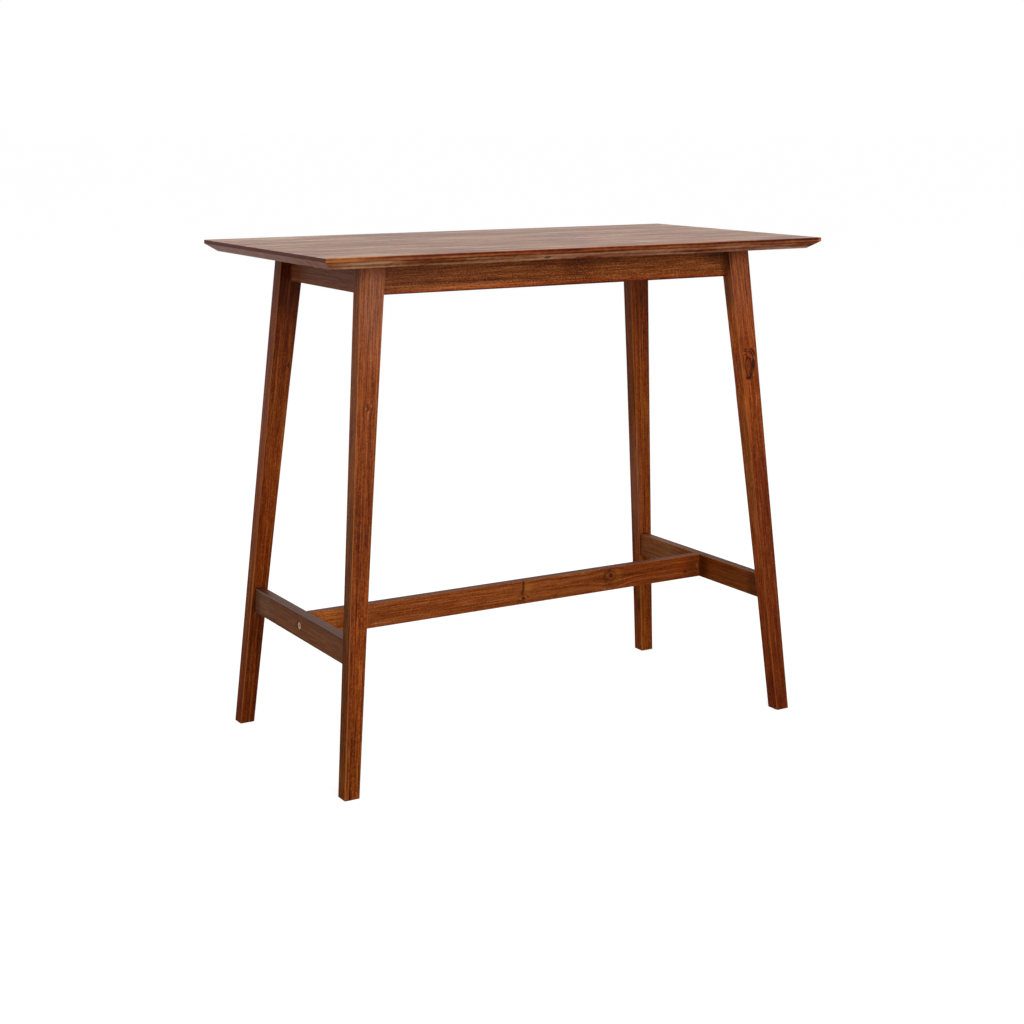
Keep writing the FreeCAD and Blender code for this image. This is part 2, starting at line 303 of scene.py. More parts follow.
def stainedWood(name, look, middle, axes, own=()):
    # own: what only this piece has, laid over the look of its kind
    look = {**look, **dict(own)}
    material, tree = newMaterial(name)
    coords = addNode(tree, "ShaderNodeTexCoord")
    normal = coords.outputs["Normal"]
    turned = addNode(tree, "ShaderNodeMapping", vector_type="TEXTURE")
    tree.links.new(coords.outputs["Object"], turned.inputs["Vector"])
    turned.inputs["Location"].default_value = middle
    turned.inputs["Rotation"].default_value = axes.to_euler()
    place = turned.outputs[0]
    toPiece = axes.transposed()

    def onPiece(spot):
        return tuple(toPiece @ (Vector(spot) - Vector(middle)))

    def near(row, soft):
        return softSpot(tree, place, onPiece(row["at"]), row["size"], soft)

    # the grain parts round each knot
    flow = place
    for row in look.get("knots", []):
        far = [part * knotMix["partReach"] for part in row["size"]]
        distance, offset = spotDistance(tree, place, onPiece(row["at"]), far)
        pull = between(tree, distance, 1 + knotMix["partSoft"], 1 - knotMix["partSoft"])
        aside = vectorCalc(tree, "MULTIPLY", offset, knotMix["partAside"])
        held = vectorCalc(tree, "SCALE", aside)
        feed(tree, held.node.inputs["Scale"], pull)
        flow = vectorCalc(tree, "SUBTRACT", flow, held)
    shift = tuple(look["seed"] * step for step in woodMix["seedSteps"])
    start = vectorCalc(tree, "ADD", flow, shift)

    # rings, fibres, longer streaks, slow blotches, flecks and pores
    lateWood = growthRings(tree, look, start, flow)
    fibres = noise(tree, stretched(tree, start, *look["fibreGrain"]), *woodMix["fibreDetail"])
    streaks = noise(tree, stretched(tree, start, *look["streakGrain"]), *woodMix["streakDetail"])
    blotches = noise(tree, stretched(tree, start, *look["blotchGrain"]))
    flecks = noise(tree, stretched(tree, start, *look["fleckGrain"]), *woodMix["fleckDetail"])
    poreNoise = noise(tree, stretched(tree, start, *woodMix["poreGrain"]), woodMix["poreDetail"])
    pores = between(tree, poreNoise, *woodMix["poreStep"])

    paleTone = woodMix["toneMiddle"] + look["ringShare"] * woodMix["ringLift"]
    tone = plus(tree, lateWood, -look["ringShare"], paleTone)
    layers = {"fibre": fibres, "streak": streaks, "blotch": blotches, "fleck": flecks}
    for kind, part in layers.items():
        tone = plus(tree, part, look[kind + "Share"], tone)
    tone = plus(tree, pores, -look["poreShare"], tone)
    for row in look.get("bands", []):
        shade = near(row, woodMix["bandSoft"])
        tone = plus(tree, shade, row["lighter"], tone)
    colour = ramp(tree, tone, look["stain"])
    golden = between(tree, flecks, *woodMix["goldStep"], 0.0, look["goldShare"])
    colour = mixColour(tree, golden, colour, look["gold"])
    if look.get("cast"):
        colour = multiplied(tree, colour, look["cast"])
    # colour changes over areas; some of them are painted shade beside joints, under the top and at
    # the feet
    for row in look.get("tints", []):
        area = near(row, woodMix["tintSoft"])
        colour = mixColour(tree, area, colour, multiplied(tree, colour, row["times"]))

    uneven = noise(tree, stretched(tree, place, knotMix["unevenGrain"], knotMix["unevenGrain"]))
    for row in look.get("knots", []):
        distance = spotDistance(tree, place, onPiece(row["at"]), row["size"])[0]
        distance = plus(tree, fibres, knotMix["fibreUneven"], distance)
        distance = plus(tree, uneven, row["uneven"], distance)
        colour = drawKnot(tree, colour, row, distance)

    # how squarely a face lies along, across and through the piece
    facing = []
    for column in range(3):
        lean = vectorCalc(tree, "DOT_PRODUCT", normal, tuple(axes.col[column]))
        facing.append(calc(tree, "ABSOLUTE", lean))
    if look.get("endLines"):
        # worn lines along the sawn ends of the boards
        lines = noise(tree, stretched(tree, place, *woodMix["endLineGrain"]))
        lineTone = plus(tree, lines, look["endLines"], woodMix["toneMiddle"])
        lined = ramp(tree, lineTone, look["stain"])
        colour = mixColour(tree, between(tree, facing[0], *woodMix["endLineStep"]), colour, lined)

    broken = between(tree, fibres, *woodMix["brokenStep"])
    # marks: knots' lines, flecks, streaks and cracks, and also some painted shade beside joints and
    # some painted sheen
    for row in look.get("marks", []):
        body = calc(tree, "MULTIPLY", near(row, row["soft"]), broken)
        colour = layer(tree, colour, body, row["share"], row["colour"])
    # painted light and shade on the faces that turn one way
    for row in look.get("paintedFaceShadings", []):
        lean = vectorCalc(tree, "DOT_PRODUCT", normal, row["facing"])
        area = between(tree, lean, *woodMix["faceStep"])
        if row["at"]:
            area = calc(tree, "MULTIPLY", area, near(row, woodMix["faceSoft"]))
        colour = mixColour(tree, area, colour, multiplied(tree, colour, row["times"]))

    # end grain drinks more stain, and rounded edges get another colour, partly wear and partly a
    # painted highlight; on the front apron that colour is darker
    endGrain = between(tree, facing[0], *woodMix["endGrainStep"])
    colour = mixColour(tree, endGrain, colour, multiplied(tree, colour, look["endGrain"]))
    flatness = calc(tree, "MAXIMUM", facing[0], calc(tree, "MAXIMUM", facing[1], facing[2]))
    edgeWearAndShading = between(tree, flatness, *woodMix["edgeStep"])
    if look.get("edgeFacing"):
        lean = vectorCalc(tree, "DOT_PRODUCT", normal, look["edgeFacing"])
        edgeWearAndShading = calc(tree, "MULTIPLY", edgeWearAndShading, between(tree, lean, *woodMix["edgeUpStep"]))
    edgeWearAndShading = calc(tree, "MULTIPLY", edgeWearAndShading, between(tree, streaks, *woodMix["edgeWearAndShadingStep"]))
    colour = layer(tree, colour, edgeWearAndShading, look["edgeWearAndShadingShare"], look["edgeWearAndShading"])

    smoothest = look["rough"] - look["glossSwing"] * 0.5
    roughness = plus(tree, tone, look["glossSwing"], smoothest)
    roughness = plus(tree, pores, woodMix["poreRough"], roughness)
    roughness = plus(tree, endGrain, woodMix["endGrainRough"], roughness)
    height = calc(tree, "MULTIPLY", fibres, woodMix["fibreHeight"])
    height = plus(tree, pores, woodMix["poreHeight"], height)
    height = plus(tree, lateWood, woodMix["lateWoodHeight"], height)

    closeSurface(tree, {
        "Base Color": colour,
        "Roughness": roughness,
        "Normal": addBump(tree, height, look["relief"], woodMix["bumpDistance"]),
        "Specular IOR Level": look["shine"],
        "Coat Weight": look["coat"],
        "Coat Roughness": look["coatRough"],
    })
    return material


# Ways that grain runs and faces look
alongX, alongY, upward = (1, 0, 0), (0, 1, 0), (0, 0, 1)
forward = (0, -1, 0)
frontBevel, leftBevel, leftArris = (0, -0.58, -0.815), (-0.58, 0, -0.815), (-0.707, 0, 0.707)
outerSide, innerSide = (-0.996, 0, 0.07), (-0.996, 0, -0.09)

# Colours of the marks
knotHole = (0.01, 0.003, 0.001)
knotDark = (0.012, 0.003, 0.001)
fleckDark = (0.02, 0.007, 0.004)
arcDark = (0.05, 0.012, 0.003)
crackDark = (0.03, 0.008, 0.002)
lineDark = (0.03, 0.01, 0.005)
# painted shadow for the counterbore round the bolt head
boreShadow = (0.006, 0.003, 0.002)
crackGold = (0.45, 0.14, 0.02)
paleGold = (0.42, 0.125, 0.01)
chipGold = (0.5, 0.19, 0.05)


# Top: six boards glued side by side, satin lacquer over a dark stain
topLook = {
    "stain": [
        (0.0, (0.055, 0.006, 0.0002)),
        (0.3, (0.13, 0.014, 0.0004)),
        (0.55, (0.213, 0.044, 0.003)),
        (0.75, (0.27, 0.07, 0.006)),
        (1.0, (0.38, 0.12, 0.012)),
    ],
    "endGrain": (0.5, 0.44, 0.8),
    "endLines": 0.26,
    "edgeWearAndShading": (0.5, 0.13, 0.02),
    "edgeWearAndShadingShare": 0.45,
    "edgeFacing": upward,
    # painted light and shade by the way each face turns: a painted sheen makes the top and its
    # bevels lighter and greyer, a painted highlight runs along the left arris, the front faces are
    # a little darker, and a few patches are lighter or darker
    "paintedFaceShadings": [
        paintedFaceShading(upward, (1.25, 2.75, 20.0)),
        paintedFaceShading(leftArris, (1.8, 5.0, 40.0)),
        paintedFaceShading(frontBevel, (1.52, 2.35, 13.5)),
        paintedFaceShading(frontBevel, (1.15, 1.42, 1.3), (-0.32, -0.29, 1.034), (0.2, 0.05, 0.05)),
        paintedFaceShading(forward, (0.95, 0.92, 1.0)),
        paintedFaceShading(forward, (0.86, 0.98, 1.1), (0.32, -0.3, 1.044), (0.2, 0.05, 0.05)),
        paintedFaceShading(upward, (1.07, 1.1, 1.09), (-0.42, 0.16, 1.05), (0.2, 0.14, 0.05)),
        paintedFaceShading(upward, (1.06, 1.09, 1.08), (0.36, -0.2, 1.05), (0.12, 0.09, 0.05)),
        paintedFaceShading(leftBevel, (2.68, 5.95, 57.0)),
    ],
    "ringGap": 0.0058,
    "ringShare": 0.14,
    "wander": 0.01,
    "drift": 0.012,
    "fibreGrain": (8, 300),
    "fibreShare": 0.2,
    "streakGrain": (3.5, 55),
    "streakShare": 0.58,
    "blotchGrain": (9, 80),
    "blotchShare": 0.24,
    "poreShare": 0.1,
    "fleckGrain": (80, 90),
    "fleckShare": 0.16,
    "gold": (0.36, 0.11, 0.012),
    "goldShare": 0.15,
    "rough": 0.33,
    "glossSwing": 0.1,
    "shine": 0.12,
    "coat": 0.05,
    "coatRough": 0.3,
    "relief": 0.35,
}
topBoards = {
    "top_board_1": {
        "seed": 1.3,
        "heart": (0.045, -0.06),
        "bands": [
            band((0, -0.3, 1.047), (2.0, 0.004, 0.0018), -0.26),
            band((0, -0.3, 1.0434), (2.0, 0.003, 0.0016), 0.24),
            band((0, -0.2975, 1.0403), (2.0, 0.003, 0.0014), -0.22),
            band((0.1, -0.293, 1.037), (0.9, 0.004, 0.0022), 0.24),
            band((0.2, -0.2865, 1.0325), (0.8, 0.004, 0.0024), -0.2),
            band((-0.1, -0.281, 1.0285), (1.1, 0.003, 0.002), 0.2),
            band((0.45, -0.3, 1.043), (0.35, 0.004, 0.006), -0.12),
            band((-0.53, -0.294, 1.037), (0.06, 0.02, 0.012), 0.22),
            band((0.27, -0.22, 1.05), (0.16, 0.05, 0.004), 0.12),
        ],
        "marks": [
            mark((-0.1494, -0.2884, 1.0337), (0.006, 0.006, 0.003), (0.14, 0.02, 0.0008), 0.7),
            mark((-0.1341, -0.2865, 1.0324), (0.007, 0.006, 0.003), (0.13, 0.018, 0.0008), 0.7),
            mark((-0.1024, -0.2865, 1.0324), (0.008, 0.006, 0.0035), (0.03, 0.009, 0.0008), 0.9),
            mark((0.598, -0.299, 1.044), (0.006, 0.006, 0.006), (0.6, 0.17, 0.03), 0.7),
            mark((-0.5802, -0.2132, 1.0279), (0.007, 0.0011, 0.007), paleGold, 0.7),
            mark((-0.581, -0.2489, 1.0286), (0.006, 0.0011, 0.006), paleGold, 0.7),
        ],
    },
    "top_board_2": {
        "seed": 4.1,
        "heart": (-0.12, -0.05),
        "bands": [
            band((-0.14, -0.14, 1.05), (0.16, 0.012, 0.02), -0.16),
            band((0.27, -0.18, 1.05), (0.16, 0.03, 0.004), 0.12),
        ],
        "marks": [mark((-0.5868, -0.1866, 1.0327), (0.006, 0.0011, 0.006), paleGold, 0.6)],
    },
    "top_board_3": {
        "seed": 2.6,
        "heart": (0.02, -0.085),
        "bands": [band((0.02, -0.09, 1.05), (0.14, 0.011, 0.02), -0.18)],
    },
    "top_board_4": {
        "seed": 7.9,
        "heart": (-0.035, -0.07),
        "bands": [
            band((-0.38, 0.03, 1.05), (0.26, 0.011, 0.02), -0.26),
            band((0.24, 0.038, 1.05), (0.15, 0.01, 0.02), -0.2),
        ],
    },
    "top_board_5": {
        "seed": 5.4,
        "heart": (0.11, -0.045),
        "bands": [band((0.0, 0.118, 1.05), (0.5, 0.01, 0.02), -0.16)],
    },
    "top_board_6": {
        "seed": 9.2,
        "heart": (-0.01, -0.075),
        "bands": [band((-0.1, 0.215, 1.05), (0.45, 0.011, 0.02), -0.14)],
    },
}
for boardName, own in topBoards.items():
    low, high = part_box(boardName)
    axes = grainAxes(alongX, upward)
    paint(boardName, stainedWood("stained " + boardName, topLook, (low + high) / 2, axes, own))
print("top boards stained")


# Legs: stained plank, grain up the leg
legLook = {
    "stain": [
        (0.0, (0.045, 0.004, 0.0003)),
        (0.3, (0.135, 0.019, 0.0008)),
        (0.5, (0.21, 0.037, 0.0025)),
        (0.7, (0.29, 0.063, 0.009)),
        (1.0, (0.43, 0.125, 0.03)),
    ],
    "endGrain": (0.4, 0.34, 0.34),
    "edgeWearAndShading": (0.42, 0.13, 0.03),
    "edgeWearAndShadingShare": 0.7,
    "ringGap": 0.0062,
    "ringShare": 0.07,
    "wander": 0.009,
    "drift": 0.015,
    "fibreGrain": (20, 460),
    "fibreShare": 0.34,
    "streakGrain": (3.0, 300),
    "streakShare": 0.3,
    "blotchGrain": (3.0, 12),
    "blotchShare": 0.08,
    "poreShare": 0.06,
    "fleckGrain": (240, 480),
    "fleckShare": 0.26,
    "gold": (0.38, 0.1, 0.012),
    "goldShare": 0.3,
    "rough": 0.46,
    "glossSwing": 0.1,
    "shine": 0.1,
    "coat": 0.02,
    "coatRough": 0.25,
    "relief": 0.4,
}
tinyKnot = {
    "wood": (0.1, 0.02, 0.004),
    "bark": (0.02, 0.005, 0.002),
    "rings": 0,
    "uneven": 0.1,
    "spread": 0,
    "rim": 0.9,
    "pith": 0.6,
}
openKnot = {
    **tinyKnot,
    "wood": (0.15, 0.027, 0.003),
    "bark": (0.016, 0.004, 0.002),
    "uneven": 0.32,
    "rim": 0.95,
    "pith": 0,
}
ringKnot = {
    "wood": (0.24, 0.055, 0.006),
    "bark": (0.045, 0.01, 0.002),
    "rings": 1,
    "uneven": 0.15,
    "spread": 0.4,
    "rim": 0.6,
    "pith": 0.7,
}
# near-black lines in and round the open knot: place, reach along and across, share, softness
knotLines = [
    ((0.4783, -0.2187, 0.7597), 0.01, 0.003, 0.85, 0.7),
    ((0.4735, -0.2197, 0.7458), 0.0045, 0.0032, 0.8, 0.6),
    ((0.4635, -0.2201, 0.7399), 0.0032, 0.0045, 0.9, 0.6),
    ((0.4698, -0.2193, 0.7515), 0.006, 0.0012, 0.7, 0.6),
    ((0.4637, -0.2183, 0.7662), 0.005, 0.0012, 0.6, 0.6),
    ((0.4599, -0.2159, 0.803), 0.0015, 0.005),
    ((0.4591, -0.2161, 0.7986), 0.0015, 0.005),
    ((0.4611, -0.2166, 0.7915), 0.0017, 0.005, 0.85),
    ((0.4756, -0.2159, 0.8031), 0.002, 0.0034),
    ((0.481, -0.2162, 0.7983), 0.003, 0.0028),
    ((0.4844, -0.2166, 0.7917), 0.0036, 0.002),
    ((0.4714, -0.2162, 0.7978), 0.0018, 0.0032),
    ((0.4769, -0.2165, 0.7935), 0.0028, 0.0026),
    ((0.4803, -0.2169, 0.7876), 0.0034, 0.0018),
    ((0.4785, -0.216, 0.801), 0.0024, 0.0026),
    ((0.4829, -0.2164, 0.7951), 0.0028, 0.002),
    ((0.4742, -0.2163, 0.7958), 0.002, 0.0026),
    ((0.4788, -0.2167, 0.7906), 0.0026, 0.0018),
    ((0.448, -0.2184, 0.764), 0.01, 0.0012, 0.4, 0.6),
]


def knotLine(at, along, across, share=1.0, soft=0.4):
    return mark(at, (along, across, 0.012), knotDark, share, soft)


legPieces = {
    "leg_front_left": {
        "seed": 3.7,
        "cast": (1.04, 1.12, 1.2),
        # painted light and shade on the outer side face: a greyish painted sheen all along, and
        # darker patches lower down
        "paintedFaceShadings": [
            paintedFaceShading(outerSide, (1.0, 1.14, 1.22)),
            paintedFaceShading(outerSide, (0.74, 0.78, 0.78), (-0.53, -0.25, 0.31), (0.15, 0.1, 0.1)),
            paintedFaceShading(outerSide, (0.85, 1.0, 1.1), (-0.507, -0.22, 0.53), (0.05, 0.1, 0.1)),
        ],
        "heart": (0.03, -0.05),
        "knots": [knot((-0.4725, -0.2194, 0.749), (0.006, 0.0035, 0.008), tinyKnot)],
        "tints": [
            tint((-0.49, -0.237, 0.5), (0.07, 0.03, 0.02), (0.85, 0.8, 0.75)),
            tint((-0.459, -0.194, 0.91), (0.1, 0.1, 0.1), (1.1, 1.08, 1.0)),
            tint((-0.534, -0.254, 0.03), (0.1, 0.1, 0.1), (1.14, 1.42, 1.4)),
            tint((-0.503, -0.25, 0.2), (0.2, 0.022, 0.02), (1.22, 1.25, 1.1)),
        ],
        "marks": [
            # painted sheen near the top of the leg
            mark((-0.449, -0.206, 0.96), (0.1, 0.03, 0.012), (0.5, 0.27, 0.17), 0.2, 0.9),
            mark((-0.4764, -0.2195, 0.7475), (0.0035, 0.0018, 0.006), (0.45, 0.17, 0.05), 0.6),
            mark((-0.4643, -0.2192, 0.7523), (0.0035, 0.0018, 0.006), (0.42, 0.15, 0.04), 0.6),
        ],
    },
    "leg_front_right": {
        "seed": 6.2,
        "heart": (-0.028, -0.06),
        # painted light and shade: the inner side face lighter all along and greyer at mid height,
        # darker at the foot, and the front face darker at mid height
        "paintedFaceShadings": [
            paintedFaceShading(innerSide, (1.42, 1.45, 1.6)),
            paintedFaceShading(innerSide, (1.3, 1.4, 1.3), (0.44, -0.2, 0.89), (0.07, 0.1, 0.1)),
            paintedFaceShading(innerSide, (1.03, 1.28, 1.7), (0.48, -0.22, 0.55), (0.12, 0.1, 0.1)),
            paintedFaceShading(innerSide, (0.8, 0.75, 0.6), (0.52, -0.25, 0.04), (0.12, 0.1, 0.1)),
            paintedFaceShading(forward, (0.87, 0.74, 0.78), (0.492, -0.235, 0.53), (0.06, 0.05, 0.05)),
        ],
        "edgeWearAndShadingShare": 0.45,
        "knots": [knot((0.4678, -0.2185, 0.764), (0.0225, 0.0085, 0.014), openKnot)],
        "tints": [
            tint((0.457, -0.215, 0.85), (0.15, 0.03, 0.02), (1.15, 1.1, 1.0)),
            tint((0.5, -0.24, 0.39), (0.14, 0.06, 0.06), (0.82, 0.76, 0.72)),
            # the foot darker still, in part painted shade
            tint((0.53, -0.252, 0.05), (0.16, 0.06, 0.06), (0.88, 0.82, 0.75)),
            # painted shade on the inner side beside the front apron
            tint((0.4236, -0.186, 1.0), (0.045, 0.005, 0.016), (0.45, 0.42, 0.4)),
        ],
        "marks": [
            # painted sheen near the top of the leg
            mark((0.449, -0.206, 0.96), (0.1, 0.03, 0.012), (0.5, 0.25, 0.15), 0.14, 0.9),
            mark((0.4625, -0.224, 0.675), (0.06, 0.0045, 0.012), (0.46, 0.1, 0.012), 0.6, 0.9),
            mark((0.453, -0.219, 0.757), (0.02, 0.0045, 0.012), (0.36, 0.1, 0.014), 0.45, 0.8),
            mark((0.456, -0.2163, 0.797), (0.006, 0.004, 0.012), (0.4, 0.11, 0.015), 0.45, 0.8),
            mark((0.4816, -0.218, 0.7705), (0.0135, 0.0048, 0.012), knotHole, 1.0, 0.45),
            *[knotLine(*row) for row in knotLines],
            # this and the next line: painted shade in the corner beside the front apron under the
            # top, and below the apron
            mark((0.4251, -0.2017, 1.0049), (0.022, 0.006, 0.006), (0.01, 0.004, 0.003), 0.9, 0.5),
            mark((0.4328, -0.1903, 0.922), (0.03, 0.012, 0.014), (0.03, 0.012, 0.008), 0.7, 0.7),
        ],
    },
    "leg_back_left": {
        "seed": 8.8,
        "heart": (0.05, 0.04),
        "cast": (1.0, 0.98, 0.68),
        # painted light and shade: a greyish painted sheen low on the outer side, and painted shade
        # at the top of the front face under the table top
        "paintedFaceShadings": [
            paintedFaceShading(outerSide, (1.0, 1.22, 1.7), (-0.51, 0.236, 0.25), (0.12, 0.1, 0.1)),
            paintedFaceShading(forward, (0.8, 0.7, 0.55), (-0.458, 0.177, 0.93), (0.05, 0.05, 0.05)),
        ],
        "tints": [
            # painted shade near the top of the leg, under the table top
            tint((-0.452, 0.172, 0.97), (0.06, 0.05, 0.016), (0.55, 0.45, 0.35)),
            tint((-0.485, 0.205, 0.48), (0.15, 0.03, 0.016), (1.2, 1.15, 1.0)),
        ],
        "marks": [
            mark((-0.456, 0.173, 0.96), (0.06, 0.003, 0.01), (0.4, 0.09, 0.012), 0.5, 0.8),
            mark((-0.4547, 0.1871, 0.783), (0.007, 0.003, 0.005), fleckDark, 0.85),
        ],
    },
    "leg_back_right": {
        "seed": 5.1,
        "heart": (-0.06, 0.03),
        # painted light and shade: the front face lighter at mid height, and the inner side darker
        # near the top and at mid height
        "paintedFaceShadings": [
            paintedFaceShading(forward, (1.15, 1.28, 1.25), (0.48, 0.196, 0.65), (0.07, 0.05, 0.05)),
            paintedFaceShading(innerSide, (0.82, 0.9, 0.95), (0.438, 0.192, 0.93), (0.05, 0.05, 0.05)),
            paintedFaceShading(innerSide, (0.87, 1.0, 1.0), (0.463, 0.21, 0.65), (0.06, 0.05, 0.05)),
        ],
        "tints": [
            tint((0.485, 0.205, 0.45), (0.35, 0.04, 0.016), (1.11, 1.1, 0.82)),
            tint((0.525, 0.238, 0.06), (0.15, 0.04, 0.016), (1.42, 1.78, 1.3)),
        ],
        "marks": [
            mark((0.465, 0.1804, 0.884), (0.014, 0.0025, 0.005), fleckDark, 0.8),
            mark((0.479, 0.22, 0.42), (0.12, 0.01, 0.04), (0.26, 0.17, 0.13), 0.25, 0.8),
            mark((0.4787, 0.1861, 0.7985), (0.005, 0.003, 0.005), fleckDark, 0.8),
            mark((0.5078, 0.2388, 0.1159), (0.018, 0.004, 0.006), fleckDark, 0.7),
        ],
    },
}
# where the middle line of each leg runs, its darker and redder foot, in part painted shade where
# the light falls off toward the floor, and painted shade in the gaps beside its stretcher
legPlace = {"footX": 0.5338, "footY": 0.2542, "topX": 0.4496, "topY": 0.186, "height": 1.026}
footShade = {"size": (0.24, 0.2, 0.2), "times": (0.8, 0.68, 0.5)}
jointPlace = {"outerX": 0.5218, "innerX": 0.4977, "y": 0.2204, "z": 0.272}
jointShade = {"size": (0.03, 0.0016, 0.008), "colour": (0.02, 0.006, 0.003), "share": 0.85}
for legName, own in legPieces.items():
    sideX = -1 if "left" in legName else 1
    sideY = -1 if "front" in legName else 1
    foot = Vector((sideX * legPlace["footX"], sideY * legPlace["footY"], 0))
    head = Vector((sideX * legPlace["topX"], sideY * legPlace["topY"], legPlace["height"]))
    own["tints"].append(tint(foot, **footShade))
    for edge in ("outerX", "innerX"):
        gap = (sideX * jointPlace[edge], sideY * jointPlace["y"], jointPlace["z"])
        own["marks"].append(mark(gap, **jointShade))
    axes = grainAxes(head - foot, alongY)
    paint(legName, stainedWood("stained " + legName, legLook, (foot + head) / 2, axes, own))
print("legs stained")


# Aprons and stretchers: the same stain, grain along the rail
railLook = {
    **legLook,
    "streakGrain": (3.0, 260),
    "streakShare": 0.24,
    "fleckGrain": (260, 460),
    "fleckShare": 0.3,
    "ringGap": 0.0052,
    "relief": 0.35,
    "cast": (1.0, 1.3, 1.5),
}
calmGrain = {
    "ringShare": 0.04,
    "streakShare": 0.18,
    "blotchShare": 0.05,
    "fleckShare": 0.14,
    "fibreShare": 0.22,
}


def longMark(x, z, along, across, colour, share, soft=0.4):
    # on the front face of the long stretcher
    return mark((x, -0.01, z), (along, across, 0.004), colour, share, soft)


